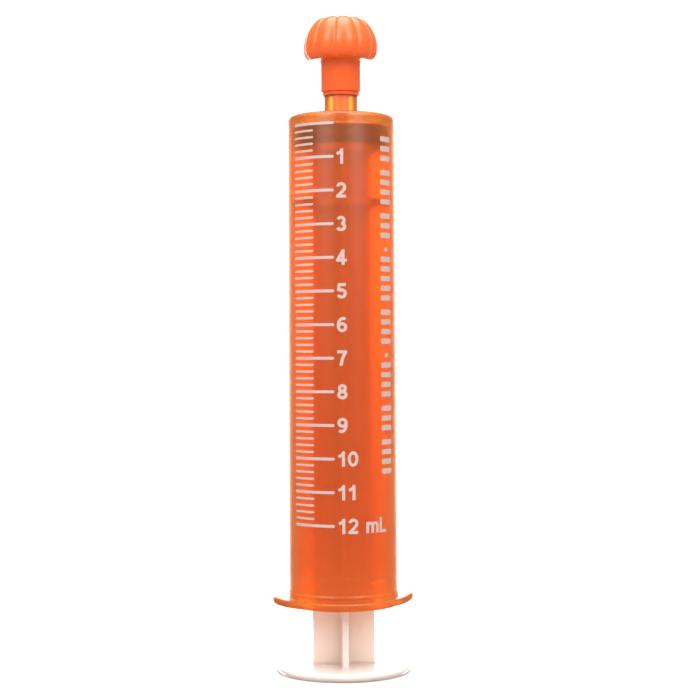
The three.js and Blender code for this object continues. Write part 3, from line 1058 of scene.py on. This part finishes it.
paper_links.new(dim.outputs["Result"], paper_nodes["Principled BSDF"].inputs["Base Color"])
floor.data.materials.append(paper)
floor.visible_glossy = False

view_azimuth = radians(-10)
away = (-sin(view_azimuth), cos(view_azimuth), 0)
side_light = 0.4
back_light = 4.4
front_light = 0.35
overhead_light = 5.2

world = bpy.data.worlds.new("white_surroundings")
bpy.context.scene.world = world
world.use_nodes = True
sky_nodes, sky_links = world.node_tree.nodes, world.node_tree.links


sky_math = calculator(sky_nodes, sky_links)


def sky_step(value, low, high):
    """Turns smoothly from 0 at low to 1 at high."""
    node = sky_nodes.new("ShaderNodeMapRange")
    node.interpolation_type = "SMOOTHSTEP"
    node.inputs["From Min"].default_value = low
    node.inputs["From Max"].default_value = high
    sky_links.new(value, node.inputs["Value"])
    return node.outputs["Result"]


direction = sky_nodes.new("ShaderNodeTexCoord").outputs["Generated"]
behind = sky_nodes.new("ShaderNodeVectorMath")
behind.operation = "DOT_PRODUCT"
behind.inputs[1].default_value = away
sky_links.new(direction, behind.inputs[0])
height = sky_nodes.new("ShaderNodeSeparateXYZ")
sky_links.new(direction, height.inputs[0])
from_back = sky_step(behind.outputs["Value"], 0.8, 0.97)
from_front = sky_step(sky_math("MULTIPLY", behind.outputs["Value"], -1.0), 0.1, 0.9)
from_above = sky_step(height.outputs["Z"], 0.8, 0.97)
level = sky_math("MULTIPLY_ADD", from_back, back_light - side_light, side_light)
level = sky_math("MULTIPLY_ADD", from_front, front_light - side_light, level)
level = sky_math("MULTIPLY_ADD", from_above, overhead_light, level)
lighting = sky_nodes["Background"]
lighting.inputs["Color"].default_value = (1, 1, 1, 1)
sky_links.new(level, lighting.inputs["Strength"])
backdrop = sky_nodes.new("ShaderNodeBackground")
backdrop.inputs["Color"].default_value = (1, 1, 1, 1)
backdrop.inputs["Strength"].default_value = 1.1
path = sky_nodes.new("ShaderNodeLightPath")
choose = sky_nodes.new("ShaderNodeMixShader")
sky_links.new(path.outputs["Is Camera Ray"], choose.inputs[0])
sky_links.new(lighting.outputs[0], choose.inputs[1])
sky_links.new(backdrop.outputs[0], choose.inputs[2])
sky_links.new(choose.outputs[0], sky_nodes["World Output"].inputs["Surface"])


def soft_box(name, azimuth, elevation, distance, width, height, radiance):
    """A rectangular area light facing the middle of the object, of a given brightness."""
    middle = (cad_low + cad_high) / 2
    outward = Vector((sin(azimuth) * cos(elevation), -cos(azimuth) * cos(elevation), sin(elevation)))
    data = bpy.data.lights.new(name, "AREA")
    data.shape = "RECTANGLE"
    data.size = width
    data.size_y = height
    data.energy = radiance * pi * width * height
    light = bpy.data.objects.new(name, data)
    bpy.context.scene.collection.objects.link(light)
    light.location = middle + outward * distance
    light.rotation_euler = outward.to_track_quat("Z", "Y").to_euler()
    light.visible_camera = False
    return light


box_turn = radians(35)
box_elevation = radians(38)
box_distance = 0.6
box_width = 0.3
box_height = 0.45
box_radiance = 4.0
for name, turn in (("front_left_box", -box_turn), ("front_right_box", box_turn)):
    soft_box(name, view_azimuth + turn, box_elevation, box_distance, box_width, box_height, box_radiance)

camera_data = bpy.data.cameras.new("camera")
camera_data.sensor_width = 36
camera_data.lens = 83.65
camera = bpy.data.objects.new("camera", camera_data)
bpy.context.scene.collection.objects.link(camera)
camera_distance = 268.3 * mm
camera_right = 1.29 * mm
camera_height = z_zero - 35.29 * mm
camera_dip = 0.00386
camera_roll = -0.0054
forward = Vector((-sin(view_azimuth), cos(view_azimuth), -camera_dip))
right = Vector((cos(view_azimuth), sin(view_azimuth), 0))
camera.location = right * camera_right - Vector((forward.x, forward.y, 0)) * camera_distance
camera.location.z = camera_height
aim = forward.to_track_quat("-Z", "Y")
camera.rotation_mode = "QUATERNION"
camera.rotation_quaternion = aim @ Quaternion((0, 0, 1), camera_roll)
bpy.context.scene.camera = camera
bpy.context.scene.view_settings.view_transform = "Standard"
bpy.context.scene.view_settings.exposure = 0.3
